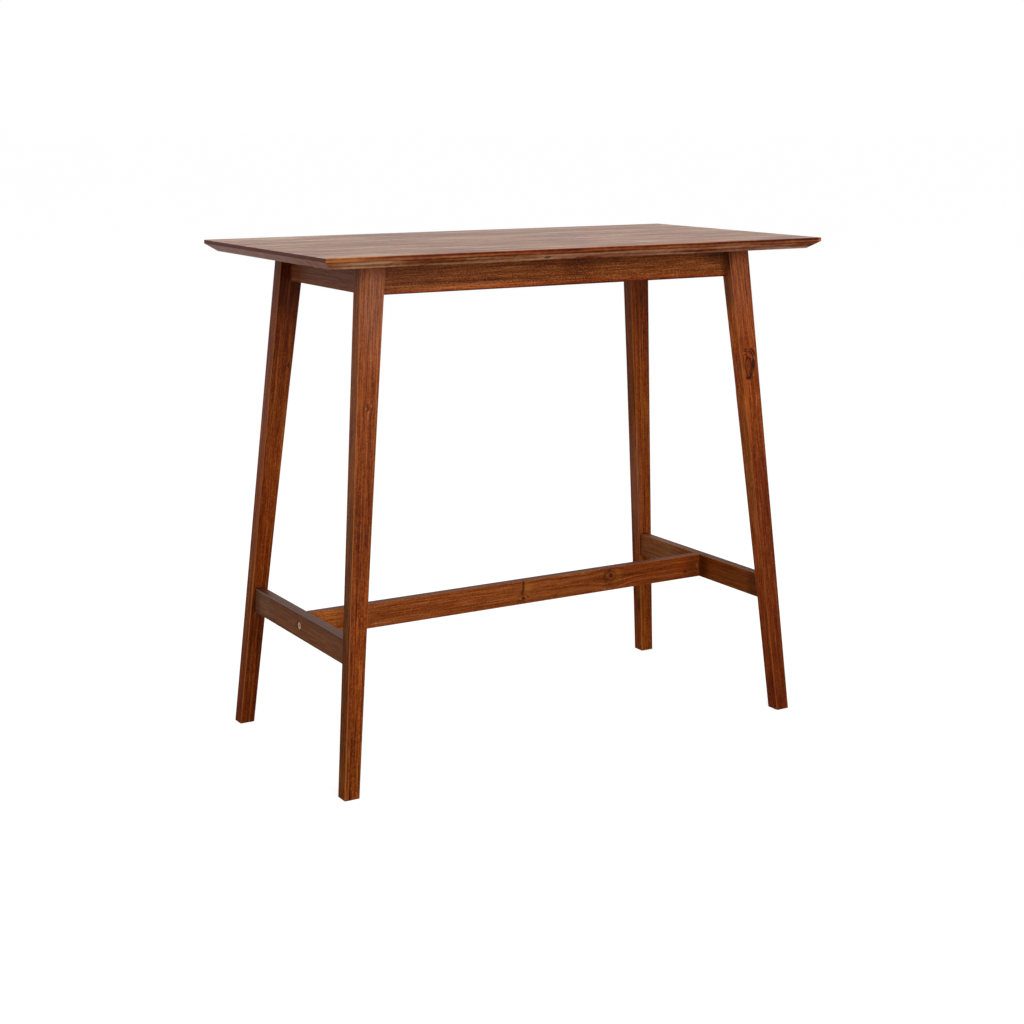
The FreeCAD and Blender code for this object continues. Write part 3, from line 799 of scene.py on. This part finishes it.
railPieces = {
    "apron_front": {
        "grain": alongX,
        "seed": 2.2,
        "heart": (0.02, 0.055),
        "drift": 0.05,
        "cast": (0.99, 1.27, 1.7),
        "edgeWearAndShading": (0.15, 0.03, 0.004),
        "fleckShare": 0.5,
        "tints": [
            # this and the next line: painted shade at the right end beside the leg, and in its top
            # corner under the table top
            tint((0.424, -0.19, 0.995), (0.01, 0.04, 0.01), (0.45, 0.4, 0.4)),
            tint((0.405, -0.19, 1.018), (0.036, 0.018, 0.01), (0.38, 0.36, 0.38)),
            tint((-0.4, -0.19, 1.0), (0.11, 0.05, 0.01), (0.76, 0.69, 0.6)),
            tint((0, -0.19, 0.97), (1.2, 0.0045, 0.01), (1.22, 0.95, 0.85)),
        ],
        "bands": [
            band((0.037, -0.19, 1.0), (0.035, 0.03, 0.01), -0.15),
            band((-0.27, -0.19, 0.972), (0.14, 0.01, 0.008), 0.22),
            band((-0.27, -0.19, 0.984), (0.14, 0.003, 0.01), -0.25),
            band((0, -0.1895, 0.9645), (1.2, 0.002, 0.004), -0.4),
        ],
        "marks": [
            mark((0.342, -0.19, 1.015), (0.003, 0.009, 0.004), fleckDark, 0.6),
            mark((0.087, -0.19, 1.012), (0.024, 0.0016, 0.004), fleckDark, 0.5),
            mark((0.372, -0.19, 1.011), (0.03, 0.0014, 0.004), lineDark, 0.45, 0.8),
            mark((0.392, -0.19, 1.003), (0.028, 0.0014, 0.004), lineDark, 0.45, 0.8),
            mark((0.405, -0.19, 0.995), (0.02, 0.0014, 0.004), lineDark, 0.4, 0.8),
        ],
    },
    "apron_back": {"grain": alongX, "seed": 7.4, "heart": (0.03, -0.06)},
    "apron_left": {
        "grain": alongY,
        "seed": 4.9,
        "heart": (-0.02, -0.07),
        **calmGrain,
        "cast": (1.05, 1.68, 7.5),
    },
    "apron_right": {"grain": alongY, "seed": 9.6, "heart": (0.04, -0.05)},
    "stretcher_left": {
        "grain": alongY,
        "seed": 1.8,
        "heart": (0.03, 0.06),
        **calmGrain,
        "shine": 0.3,
        "cast": (0.9, 1.44, 4.2),
        # painted shade: the top face darker
        "paintedFaceShadings": [paintedFaceShading(upward, (0.7, 0.6, 0.6))],
        "edgeWearAndShading": (0.34, 0.23, 0.18),
        "tints": [
            tint((-0.5207, 0, 0.297), (0.4, 0.009, 0.01), (0.76, 0.78, 0.92)),
            tint((-0.5207, 0, 0.2455), (0.4, 0.002, 0.01), (0.5, 0.45, 0.45)),
            tint((-0.5207, -0.02, 0.264), (0.14, 0.01, 0.01), (1.14, 1.16, 1.05)),
            tint((-0.5207, 0.17, 0.272), (0.04, 0.05, 0.01), (1.02, 1.32, 1.8)),
            # painted shade beside the back leg
            tint((-0.5207, 0.206, 0.272), (0.011, 0.05, 0.01), (0.66, 0.72, 0.85)),
        ],
        "marks": [
            # painted shadow in the counterbore round the bolt head
            mark((-0.5206, 0.0012, 0.2723), (0.0089, 0.0089, 0.004), boreShadow, 1.0, 0.08),
        ],
    },
    "stretcher_right": {
        "grain": alongY,
        "seed": 6.7,
        "heart": (-0.03, -0.06),
        **calmGrain,
        "cast": (0.83, 0.95, 0.85),
        # painted sheen: the top face greyer
        "paintedFaceShadings": [paintedFaceShading(upward, (0.85, 1.1, 1.8))],
        "tints": [
            tint((0.499, 0.13, 0.285), (0.075, 0.05, 0.02), (1.38, 2.2, 8.5)),
            # painted shade in the corner where the long stretcher meets it
            tint((0.499, -0.024, 0.272), (0.016, 0.05, 0.02), (0.55, 0.42, 0.5)),
            # painted shade beside the front leg
            tint((0.499, -0.2, 0.272), (0.014, 0.05, 0.02), (0.66, 0.68, 1.0)),
            tint((0.499, -0.115, 0.291), (0.07, 0.008, 0.02), (0.76, 0.66, 0.75)),
            tint((0.499, -0.115, 0.254), (0.07, 0.004, 0.02), (1.35, 1.6, 2.4)),
        ],
    },
    "stretcher_long": {
        "grain": alongX,
        "seed": 3.3,
        "heart": (0.03, 0.045),
        "drift": -0.03,
        "cast": (1.02, 1.34, 2.3),
        # painted shade: the top face darker
        "paintedFaceShadings": [paintedFaceShading(upward, (0.72, 0.72, 0.8))],
        "fleckShare": 0.2,
        "fibreShare": 0.24,
        "tints": [
            tint((-0.15, -0.01, 0.272), (0.32, 0.05, 0.1), (1.3, 1.27, 1.38)),
            tint((0.35, -0.01, 0.272), (0.1, 0.05, 0.1), (0.95, 0.76, 0.48)),
            tint((-0.47, -0.01, 0.272), (0.03, 0.05, 0.1), (1.6, 1.8, 1.5)),
            tint((0.46, -0.01, 0.272), (0.035, 0.05, 0.1), (1.03, 0.78, 0.38)),
        ],
        "knots": [
            knot((0.2489, -0.01, 0.2785), (0.0125, 0.0105, 0.014), ringKnot),
            knot((0.458, -0.01, 0.261), (0.005, 0.003, 0.006), tinyKnot),
        ],
        "marks": [
            longMark(0.016, 0.286, 0.0027, 0.013, (0.02, 0.005, 0.002), 1.0, 0.6),
            longMark(0.013, 0.2715, 0.004, 0.006, (0.03, 0.007, 0.002), 0.85, 0.7),
            longMark(0.0166, 0.2585, 0.006, 0.0034, (0.012, 0.004, 0.002), 1.0),
            longMark(0.0275, 0.26, 0.003, 0.002, crackDark, 0.8),
            longMark(0.0073, 0.2535, 0.008, 0.002, crackDark, 0.7, 0.7),
            longMark(0.0085, 0.2582, 0.0028, 0.002, crackGold, 0.7),
            longMark(0.022, 0.2604, 0.0028, 0.002, crackGold, 0.7),
            longMark(0.029, 0.28, 0.009, 0.01, (0.4, 0.12, 0.016), 0.6, 0.8),
            longMark(0.006, 0.2645, 0.006, 0.0016, crackDark, 0.75, 0.6),
            longMark(-0.004, 0.2605, 0.007, 0.0014, crackDark, 0.65, 0.6),
            longMark(-0.003, 0.262, 0.012, 0.003, (0.4, 0.12, 0.018), 0.5, 0.8),
            longMark(0.1, 0.253, 0.004, 0.0025, fleckDark, 0.5),
            longMark(-0.349, 0.255, 0.004, 0.0018, chipGold, 0.6),
            # painted shade in the corner where it meets the right stretcher
            mark((0.482, -0.01, 0.272), (0.02, 0.03, 0.006), (0.05, 0.015, 0.006), 0.5, 0.8),
            longMark(0.2445, 0.2905, 0.0045, 0.004, arcDark, 0.75, 0.6),
            longMark(0.2345, 0.289, 0.004, 0.0045, arcDark, 0.65, 0.6),
            longMark(0.2308, 0.279, 0.0028, 0.008, arcDark, 0.8, 0.6),
            longMark(0.236, 0.2665, 0.0045, 0.0035, arcDark, 0.75, 0.6),
            longMark(0.246, 0.26, 0.006, 0.0028, arcDark, 0.75, 0.6),
            longMark(0.2372, 0.28, 0.0013, 0.005, (0.45, 0.15, 0.02), 0.4),
            longMark(0.269, 0.279, 0.01, 0.0085, (0.38, 0.115, 0.016), 0.45, 0.8),
            longMark(0.172, 0.2942, 0.003, 0.0018, chipGold, 0.6),
            mark((0, 0.01, 0.2974), (0.6, 0.004, 0.008), (0.03, 0.008, 0.006), 0.7, 0.5),
            longMark(0.492, 0.272, 0.003, 0.005, (0.45, 0.13, 0.04), 0.6),
        ],
    },
}
for railName, own in railPieces.items():
    low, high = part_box(railName)
    axes = grainAxes(own["grain"], alongY if own["grain"] == alongX else alongX)
    paint(railName, stainedWood("stained " + railName, railLook, (low + high) / 2, axes, own))
print("aprons and stretchers stained")


# Raw wood inside the frame: corner blocks with upright grain, and the dowels
rawLook = {
    **legLook,
    "stain": [
        (0.0, (0.2, 0.1, 0.045)),
        (0.35, (0.34, 0.2, 0.1)),
        (0.7, (0.46, 0.3, 0.165)),
        (1.0, (0.58, 0.41, 0.25)),
    ],
    "gold": (0.58, 0.4, 0.22),
    "goldShare": 0.2,
    "edgeWearAndShading": (0.6, 0.43, 0.27),
    "endGrain": (0.72, 0.64, 0.56),
    "rough": 0.72,
    "coat": 0.0,
    "relief": 0.7,
}
rawBlocks = {
    "front_left": {"seed": 1.1, "across": (1, 1, 0)},
    "front_right": {"seed": 2.3, "across": (1, -1, 0)},
    "back_left": {"seed": 3.9, "across": (1, -1, 0)},
    "back_right": {"seed": 5.7, "across": (1, 1, 0)},
}
for cornerName, block in rawBlocks.items():
    low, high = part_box("corner_block_" + cornerName)
    axes = grainAxes(upward, block["across"])
    own = {"seed": block["seed"], "heart": (0.04, 0.03)}
    wood = stainedWood("raw corner block " + cornerName, rawLook, (low + high) / 2, axes, own)
    paint("corner_block_" + cornerName, wood)
dowelLook = {**rawLook, "ringGap": 0.002, "rough": 0.6, "seed": 8.1, "heart": (0.02, 0.02)}
dowelMiddle = (0, 0, 0.256)
axes = grainAxes(alongX, upward)
paint("stretcher_dowels", stainedWood("raw dowels", dowelLook, dowelMiddle, axes))
print("raw wood done")


# Metal: what all of it shares
metalMix = {
    "cloudNoise": (4.0, 0.65),
    "scuffNoise": (3.0, 0.6, 0.4),
    "scuffSlim": 0.2,
    "cloudShare": 0.28,
    "platingMiddle": 0.5,
    "scuffStep": (0.4, 1.2, 0.0, 0.5),
    "fineHeight": 0.4,
    "threadHeight": 4.0,
    "threadStep": (0.5, 0.0),
    "cloudRough": 0.06,
    "bumpStrength": 0.5,
}


def platedMetal(name, look):
    material, tree = newMaterial(name)
    coords = addNode(tree, "ShaderNodeTexCoord")
    place = coords.outputs["Object"]
    cloudPlace = stretched(tree, place, look["cloudSize"], look["cloudSize"])
    clouds = noise(tree, cloudPlace, *metalMix["cloudNoise"])
    scuffSize = look["scuffSize"]
    scuffPlace = stretched(tree, place, scuffSize, scuffSize * metalMix["scuffSlim"])
    scuffs = noise(tree, scuffPlace, *metalMix["scuffNoise"])
    shade = plus(tree, clouds, metalMix["cloudShare"], metalMix["platingMiddle"])
    colour = ramp(tree, shade, look["plating"])
    colour = mixColour(tree, between(tree, scuffs, *metalMix["scuffStep"]), colour, look["scuffed"])
    for row in look.get("marks", []):
        body = softSpot(tree, place, row["at"], row["size"], row["soft"])
        colour = layer(tree, colour, body, row["share"], row["colour"])
    cloudHeight = calc(tree, "MULTIPLY", clouds, metalMix["fineHeight"])
    height = calc(tree, "ADD", cloudHeight, calc(tree, "MULTIPLY", scuffs, metalMix["fineHeight"]))
    if look.get("threadPitch"):
        # thread on the bolts that lie on the corner diagonals
        parts = addNode(tree, "ShaderNodeSeparateXYZ")
        tree.links.new(place, parts.inputs[0])
        sideways = calc(tree, "ABSOLUTE", parts.outputs[0])
        reach = calc(tree, "ADD", sideways, calc(tree, "ABSOLUTE", parts.outputs[1]))
        turns = calc(tree, "MULTIPLY", reach, math.pi * math.sqrt(2) / look["threadPitch"])
        crest = calc(tree, "ABSOLUTE", calc(tree, "SINE", turns))
        height = plus(tree, crest, metalMix["threadHeight"], height)
        groove = between(tree, crest, *metalMix["threadStep"])
        colour = mixColour(tree, groove, colour, look["scuffed"])
    closeSurface(tree, {
        "Base Color": colour,
        "Roughness": plus(tree, clouds, metalMix["cloudRough"], look["rough"]),
        "Normal": addBump(tree, height, metalMix["bumpStrength"], look["relief"]),
        "Metallic": look["metal"],
    })
    return material


# The shadow in the bolts' sockets, and one highlight
socketSize, socketDark = (0.006, 0.0026, 0.0024), (0.04, 0.014, 0.006)
brassLook = {
    "plating": [(0.0, (0.78, 0.42, 0.17)), (0.5, (0.98, 0.62, 0.3)), (1.0, (1.0, 0.8, 0.54))],
    "scuffed": (0.3, 0.2, 0.1),
    "cloudSize": 260,
    "scuffSize": 700,
    "rough": 0.34,
    "metal": 0.25,
    "relief": 0.0001,
    "marks": [
        mark((-0.52, 0, 0.2715), socketSize, socketDark, 1.0, 0.3),
        mark((0.52, 0, 0.2715), socketSize, socketDark, 1.0, 0.3),
        mark((-0.52, -0.0042, 0.2738), (0.006, 0.0018, 0.003), (1.0, 0.95, 0.85), 0.9, 0.5),
    ],
}
zincLook = {
    "plating": [(0.0, (0.4, 0.41, 0.42)), (0.5, (0.56, 0.56, 0.55)), (1.0, (0.7, 0.69, 0.66))],
    "scuffed": (0.28, 0.28, 0.28),
    "cloudSize": 180,
    "scuffSize": 600,
    "rough": 0.38,
    "metal": 1.0,
    "relief": 0.0001,
}
threadLook = {**zincLook, "threadPitch": 0.00125, "relief": 0.0002}
zinc = platedMetal("zinc plated steel", zincLook)
paint("connector_bolts", platedMetal("pale brass", brassLook))
paint("hanger_bolts", platedMetal("threaded steel", threadLook))
for hardware in ("barrel_nuts", "hanger_washers", "hanger_nuts", "top_brackets"):
    paint(hardware, zinc)
print("metal done")


# Wood screws in the brackets and corner blocks: pan heads with a cross recess
screwLook = {
    "headRadius": 0.004,
    "headHeight": 0.0018,
    "headSides": 24,
    "rimRound": 0.0007,
    "rimSteps": 3,
    "recessReach": 0.0026,
    "recessHalf": 0.00055,
    "recessDepth": 0.001,
}


def only(kind, raised):
    return [part for part in raised["geom"] if isinstance(part, kind)]


def addScrew(mesh, place, outward):
    # one head, made lying on z = 0 and then set on its seat
    head = bmesh.new()
    bmesh.ops.create_circle(head, cap_ends=True, segments=screwLook["headSides"],
                            radius=screwLook["headRadius"])
    raised = bmesh.ops.extrude_face_region(head, geom=head.faces[:])
    topLevel = screwLook["headHeight"]
    bmesh.ops.translate(head, verts=only(bmesh.types.BMVert, raised), vec=(0, 0, topLevel))
    rim = [edge for face in only(bmesh.types.BMFace, raised) for edge in face.edges]
    bmesh.ops.bevel(head, geom=rim, affect="EDGES", offset=screwLook["rimRound"],
                    segments=screwLook["rimSteps"], profile=0.5, material=-1)

    def topFaces():
        tiny = 1e-6
        return [face for face in head.faces if face.calc_center_median().z > topLevel - tiny]

    margin = screwLook["headRadius"] - screwLook["rimRound"] - screwLook["recessReach"]
    bmesh.ops.inset_region(head, faces=topFaces(), thickness=margin, depth=0)
    half = screwLook["recessHalf"]
    for direction in (alongX, alongY):
        for offset in (-half, half):
            # cut the faces near the middle along both sides of the slot
            inner = [face for face in topFaces() if face.calc_center_median().length < topLevel * 3]
            pieces = dict.fromkeys(inner)  # each once, in a fixed order
            for face in inner:
                pieces.update(dict.fromkeys([*face.edges, *face.verts]))
            spot = tuple(part * offset for part in direction)
            bmesh.ops.bisect_plane(head, geom=list(pieces), plane_co=spot, plane_no=direction)
    cross = []
    for face in topFaces():
        middle = face.calc_center_median()
        reach = Vector((middle.x, middle.y)).length
        if reach < screwLook["recessReach"] and (abs(middle.x) < half or abs(middle.y) < half):
            cross.append(face)
    sunk = bmesh.ops.extrude_face_region(head, geom=cross)
    bmesh.ops.delete(head, geom=cross, context="FACES_ONLY")
    depth = screwLook["recessDepth"]
    bmesh.ops.translate(head, verts=only(bmesh.types.BMVert, sunk), vec=(0, 0, -depth))
    bmesh.ops.recalc_face_normals(head, faces=head.faces[:])
    turn = Vector(outward).normalized().to_track_quat("Z", "Y").to_matrix().to_4x4()
    bmesh.ops.transform(head, verts=head.verts[:], matrix=Matrix.Translation(place) @ turn)
    part = bpy.data.meshes.new("screw")
    head.to_mesh(part)
    head.free()
    mesh.from_mesh(part)
    bpy.data.meshes.remove(part)


def addMeshObject(name, mesh, material):
    data = bpy.data.meshes.new(name)
    mesh.to_mesh(data)
    mesh.free()
    data.materials.append(material)
    piece = bpy.data.objects.new(name, data)
    bpy.context.scene.collection.objects.link(piece)
    return piece


def screwSet(name, seats):
    mesh = bmesh.new()
    for place, outward in seats:
        addScrew(mesh, Vector(place), outward)
    piece = addMeshObject(name, mesh, zinc)
    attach(piece, "root")


# each angle bracket has one screw up into the top and one out into the long apron
bracketPlaces = {"x": 0.2, "topY": 0.155, "topZ": 1.024, "apronY": 0.168, "apronZ": 1.011}
bracketSeats = []
for sideX in (-1, 1):
    for sideY in (-1, 1):
        x = sideX * bracketPlaces["x"]
        topSeat = (x, sideY * bracketPlaces["topY"], bracketPlaces["topZ"])
        apronSeat = (x, sideY * bracketPlaces["apronY"], bracketPlaces["apronZ"])
        bracketSeats += [(topSeat, (0, 0, -1)), (apronSeat, (0, -sideY, 0))]
screwSet("bracket_screws", bracketSeats)

# two in each corner block, either side of the hanger bolt
blockPlaces = {"x": 0.40845, "y": 0.14545, "apart": 0.022, "levels": (1.006, 0.984)}
blockSeats = []
for sideX in (-1, 1):
    for sideY in (-1, 1):
        middle = Vector((sideX * blockPlaces["x"], sideY * blockPlaces["y"], 0))
        along = Vector((sideX, -sideY, 0)).normalized() * blockPlaces["apart"]
        for step, level in zip((-1, 1), blockPlaces["levels"]):
            seat = middle + along * step + Vector((0, 0, level))
            blockSeats.append((seat, (-sideX, -sideY, 0)))
screwSet("block_screws", blockSeats)
print("screws set")


# Pale floor and white surroundings
white = (1, 1, 1)
stageLook = {
    "floorSize": 400.0,
    "floorParts": 8,
    "floorColour": (0.3, 0.3, 0.3),
    "floorInGloss": (0.12, 0.12, 0.12),
    "floorToCamera": (0.95, 0.95, 0.95),
    "floorGlow": 0.7,
    "glowLevel": 1.17,
    "mottleScale": 3,
    "mottleDetail": 3.0,
    "mottleRough": 0.3,
    "sweepReach": (1.0, 6.0),
    "sweepShine": 0.7,
    "skyFill": 0.62,
    "backdropHeading": (0.496, 0.868, 0.0),
    "backdropEdge": (0.2, 1.0),
    "backdropShine": 0.69,
    "roomShine": 0.4,
}


def rayKinds(tree):
    # rays of reflections, and those straight from the camera
    rays = addNode(tree, "ShaderNodeLightPath").outputs
    seen = calc(tree, "MAXIMUM", rays["Is Camera Ray"], rays["Is Transmission Ray"])
    return rays["Is Glossy Ray"], seen


def addFloor():
    material, tree = newMaterial("pale studio floor")
    glossy, seen = rayKinds(tree)
    coords = addNode(tree, "ShaderNodeTexCoord")
    place = coords.outputs["Object"]
    scale = stageLook["mottleScale"]
    mottle = noise(tree, stretched(tree, place, scale, scale), stageLook["mottleDetail"])
    pale = addNode(tree, "ShaderNodeBsdfDiffuse")
    shade = mixColour(tree, glossy, stageLook["floorColour"], stageLook["floorInGloss"])
    feed(tree, pale.inputs["Color"], mixColour(tree, seen, shade, stageLook["floorToCamera"]))
    roughness = between(tree, mottle, -1, 1, 0.0, stageLook["mottleRough"])
    feed(tree, pale.inputs["Roughness"], roughness)
    glow = addNode(tree, "ShaderNodeEmission")
    feed(tree, glow.inputs["Color"], white)
    glow.inputs["Strength"].default_value = stageLook["glowLevel"]
    blend = addNode(tree, "ShaderNodeMixShader")
    away = vectorCalc(tree, "LENGTH", place)
    sweep = between(tree, away, *stageLook["sweepReach"], 0.0, stageLook["sweepShine"])
    share = calc(tree, "MULTIPLY", glossy, sweep)
    feed(tree, blend.inputs[0], plus(tree, seen, stageLook["floorGlow"], share))
    tree.links.new(pale.outputs[0], blend.inputs[1])
    tree.links.new(glow.outputs[0], blend.inputs[2])
    closeMaterial(tree, blend.outputs[0])
    mesh = bmesh.new()
    parts = stageLook["floorParts"]
    bmesh.ops.create_grid(mesh, x_segments=parts, y_segments=parts, size=stageLook["floorSize"] / 2)
    floor = addMeshObject("studio_floor", mesh, material)


def setSurroundings():
    # white to the camera, white behind the table in reflections, softer as light
    world = bpy.data.worlds.new("white surroundings")
    world.use_nodes = True
    tree = world.node_tree
    tree.nodes.clear()
    glossy, seen = rayKinds(tree)
    coords = addNode(tree, "ShaderNodeTexCoord")
    heading = stageLook["backdropHeading"]
    toBackdrop = vectorCalc(tree, "DOT_PRODUCT", coords.outputs["Generated"], heading)
    shines = (stageLook["roomShine"], stageLook["backdropShine"])
    behind = between(tree, toBackdrop, *stageLook["backdropEdge"], *shines)
    level = calc(tree, "MULTIPLY", glossy, behind)
    other = calc(tree, "SUBTRACT", 1.0, calc(tree, "MAXIMUM", glossy, seen))
    level = calc(tree, "ADD", level, seen)
    level = plus(tree, other, stageLook["skyFill"], level)
    background = addNode(tree, "ShaderNodeBackground")
    feed(tree, background.inputs["Color"], white)
    feed(tree, background.inputs["Strength"], level)
    output = addNode(tree, "ShaderNodeOutputWorld")
    tree.links.new(background.outputs[0], output.inputs["Surface"])
    bpy.context.scene.world = world


addFloor()
setSurroundings()

lamps = {
    "front softbox": {"place": (-0.1, -2.4, 1.4), "target": (0, 0, 0.95), "size": 1.3, "power": 28},
    "left softbox": {"place": (-4.2, -0.8, 2.0), "target": (0, 0, 0.9), "size": 2.2, "power": 24},
    "overhead softbox": {"place": (0.2, 0.1, 3.4), "target": (0, 0, 1.0), "size": 2.4, "power": 44},
}
for lampName, lampLook in lamps.items():
    lamp = bpy.data.lights.new(lampName, "AREA")
    lamp.shape = "DISK"
    lamp.size = lampLook["size"]
    lamp.energy = lampLook["power"]
    light = bpy.data.objects.new(lampName, lamp)
    light.location = lampLook["place"]
    heading = Vector(lampLook["target"]) - Vector(lampLook["place"])
    light.rotation_euler = heading.to_track_quat("-Z", "Y").to_euler()
    bpy.context.scene.collection.objects.link(light)
print("stage and light set")


# Camera at the photograph's place
photoView = {
    "place": (-2.02407, -3.25945, 1.30616),
    "down": 0.0666,
    "heading": -0.5193,
    "sensor": 36,
    "lens": 62.37,
    "shift": (0.0594, -0.2673),
}
camera = bpy.data.cameras.new("photo camera")
camera.sensor_width = photoView["sensor"]
camera.lens = photoView["lens"]
camera.shift_x, camera.shift_y = photoView["shift"]
cameraObject = bpy.data.objects.new("photo camera", camera)
cameraObject.location = photoView["place"]
cameraObject.rotation_euler = (math.pi / 2 - photoView["down"], 0, photoView["heading"])
bpy.context.scene.collection.objects.link(cameraObject)
bpy.context.scene.camera = cameraObject
bpy.context.scene.view_settings.view_transform = "Standard"
print("camera set")
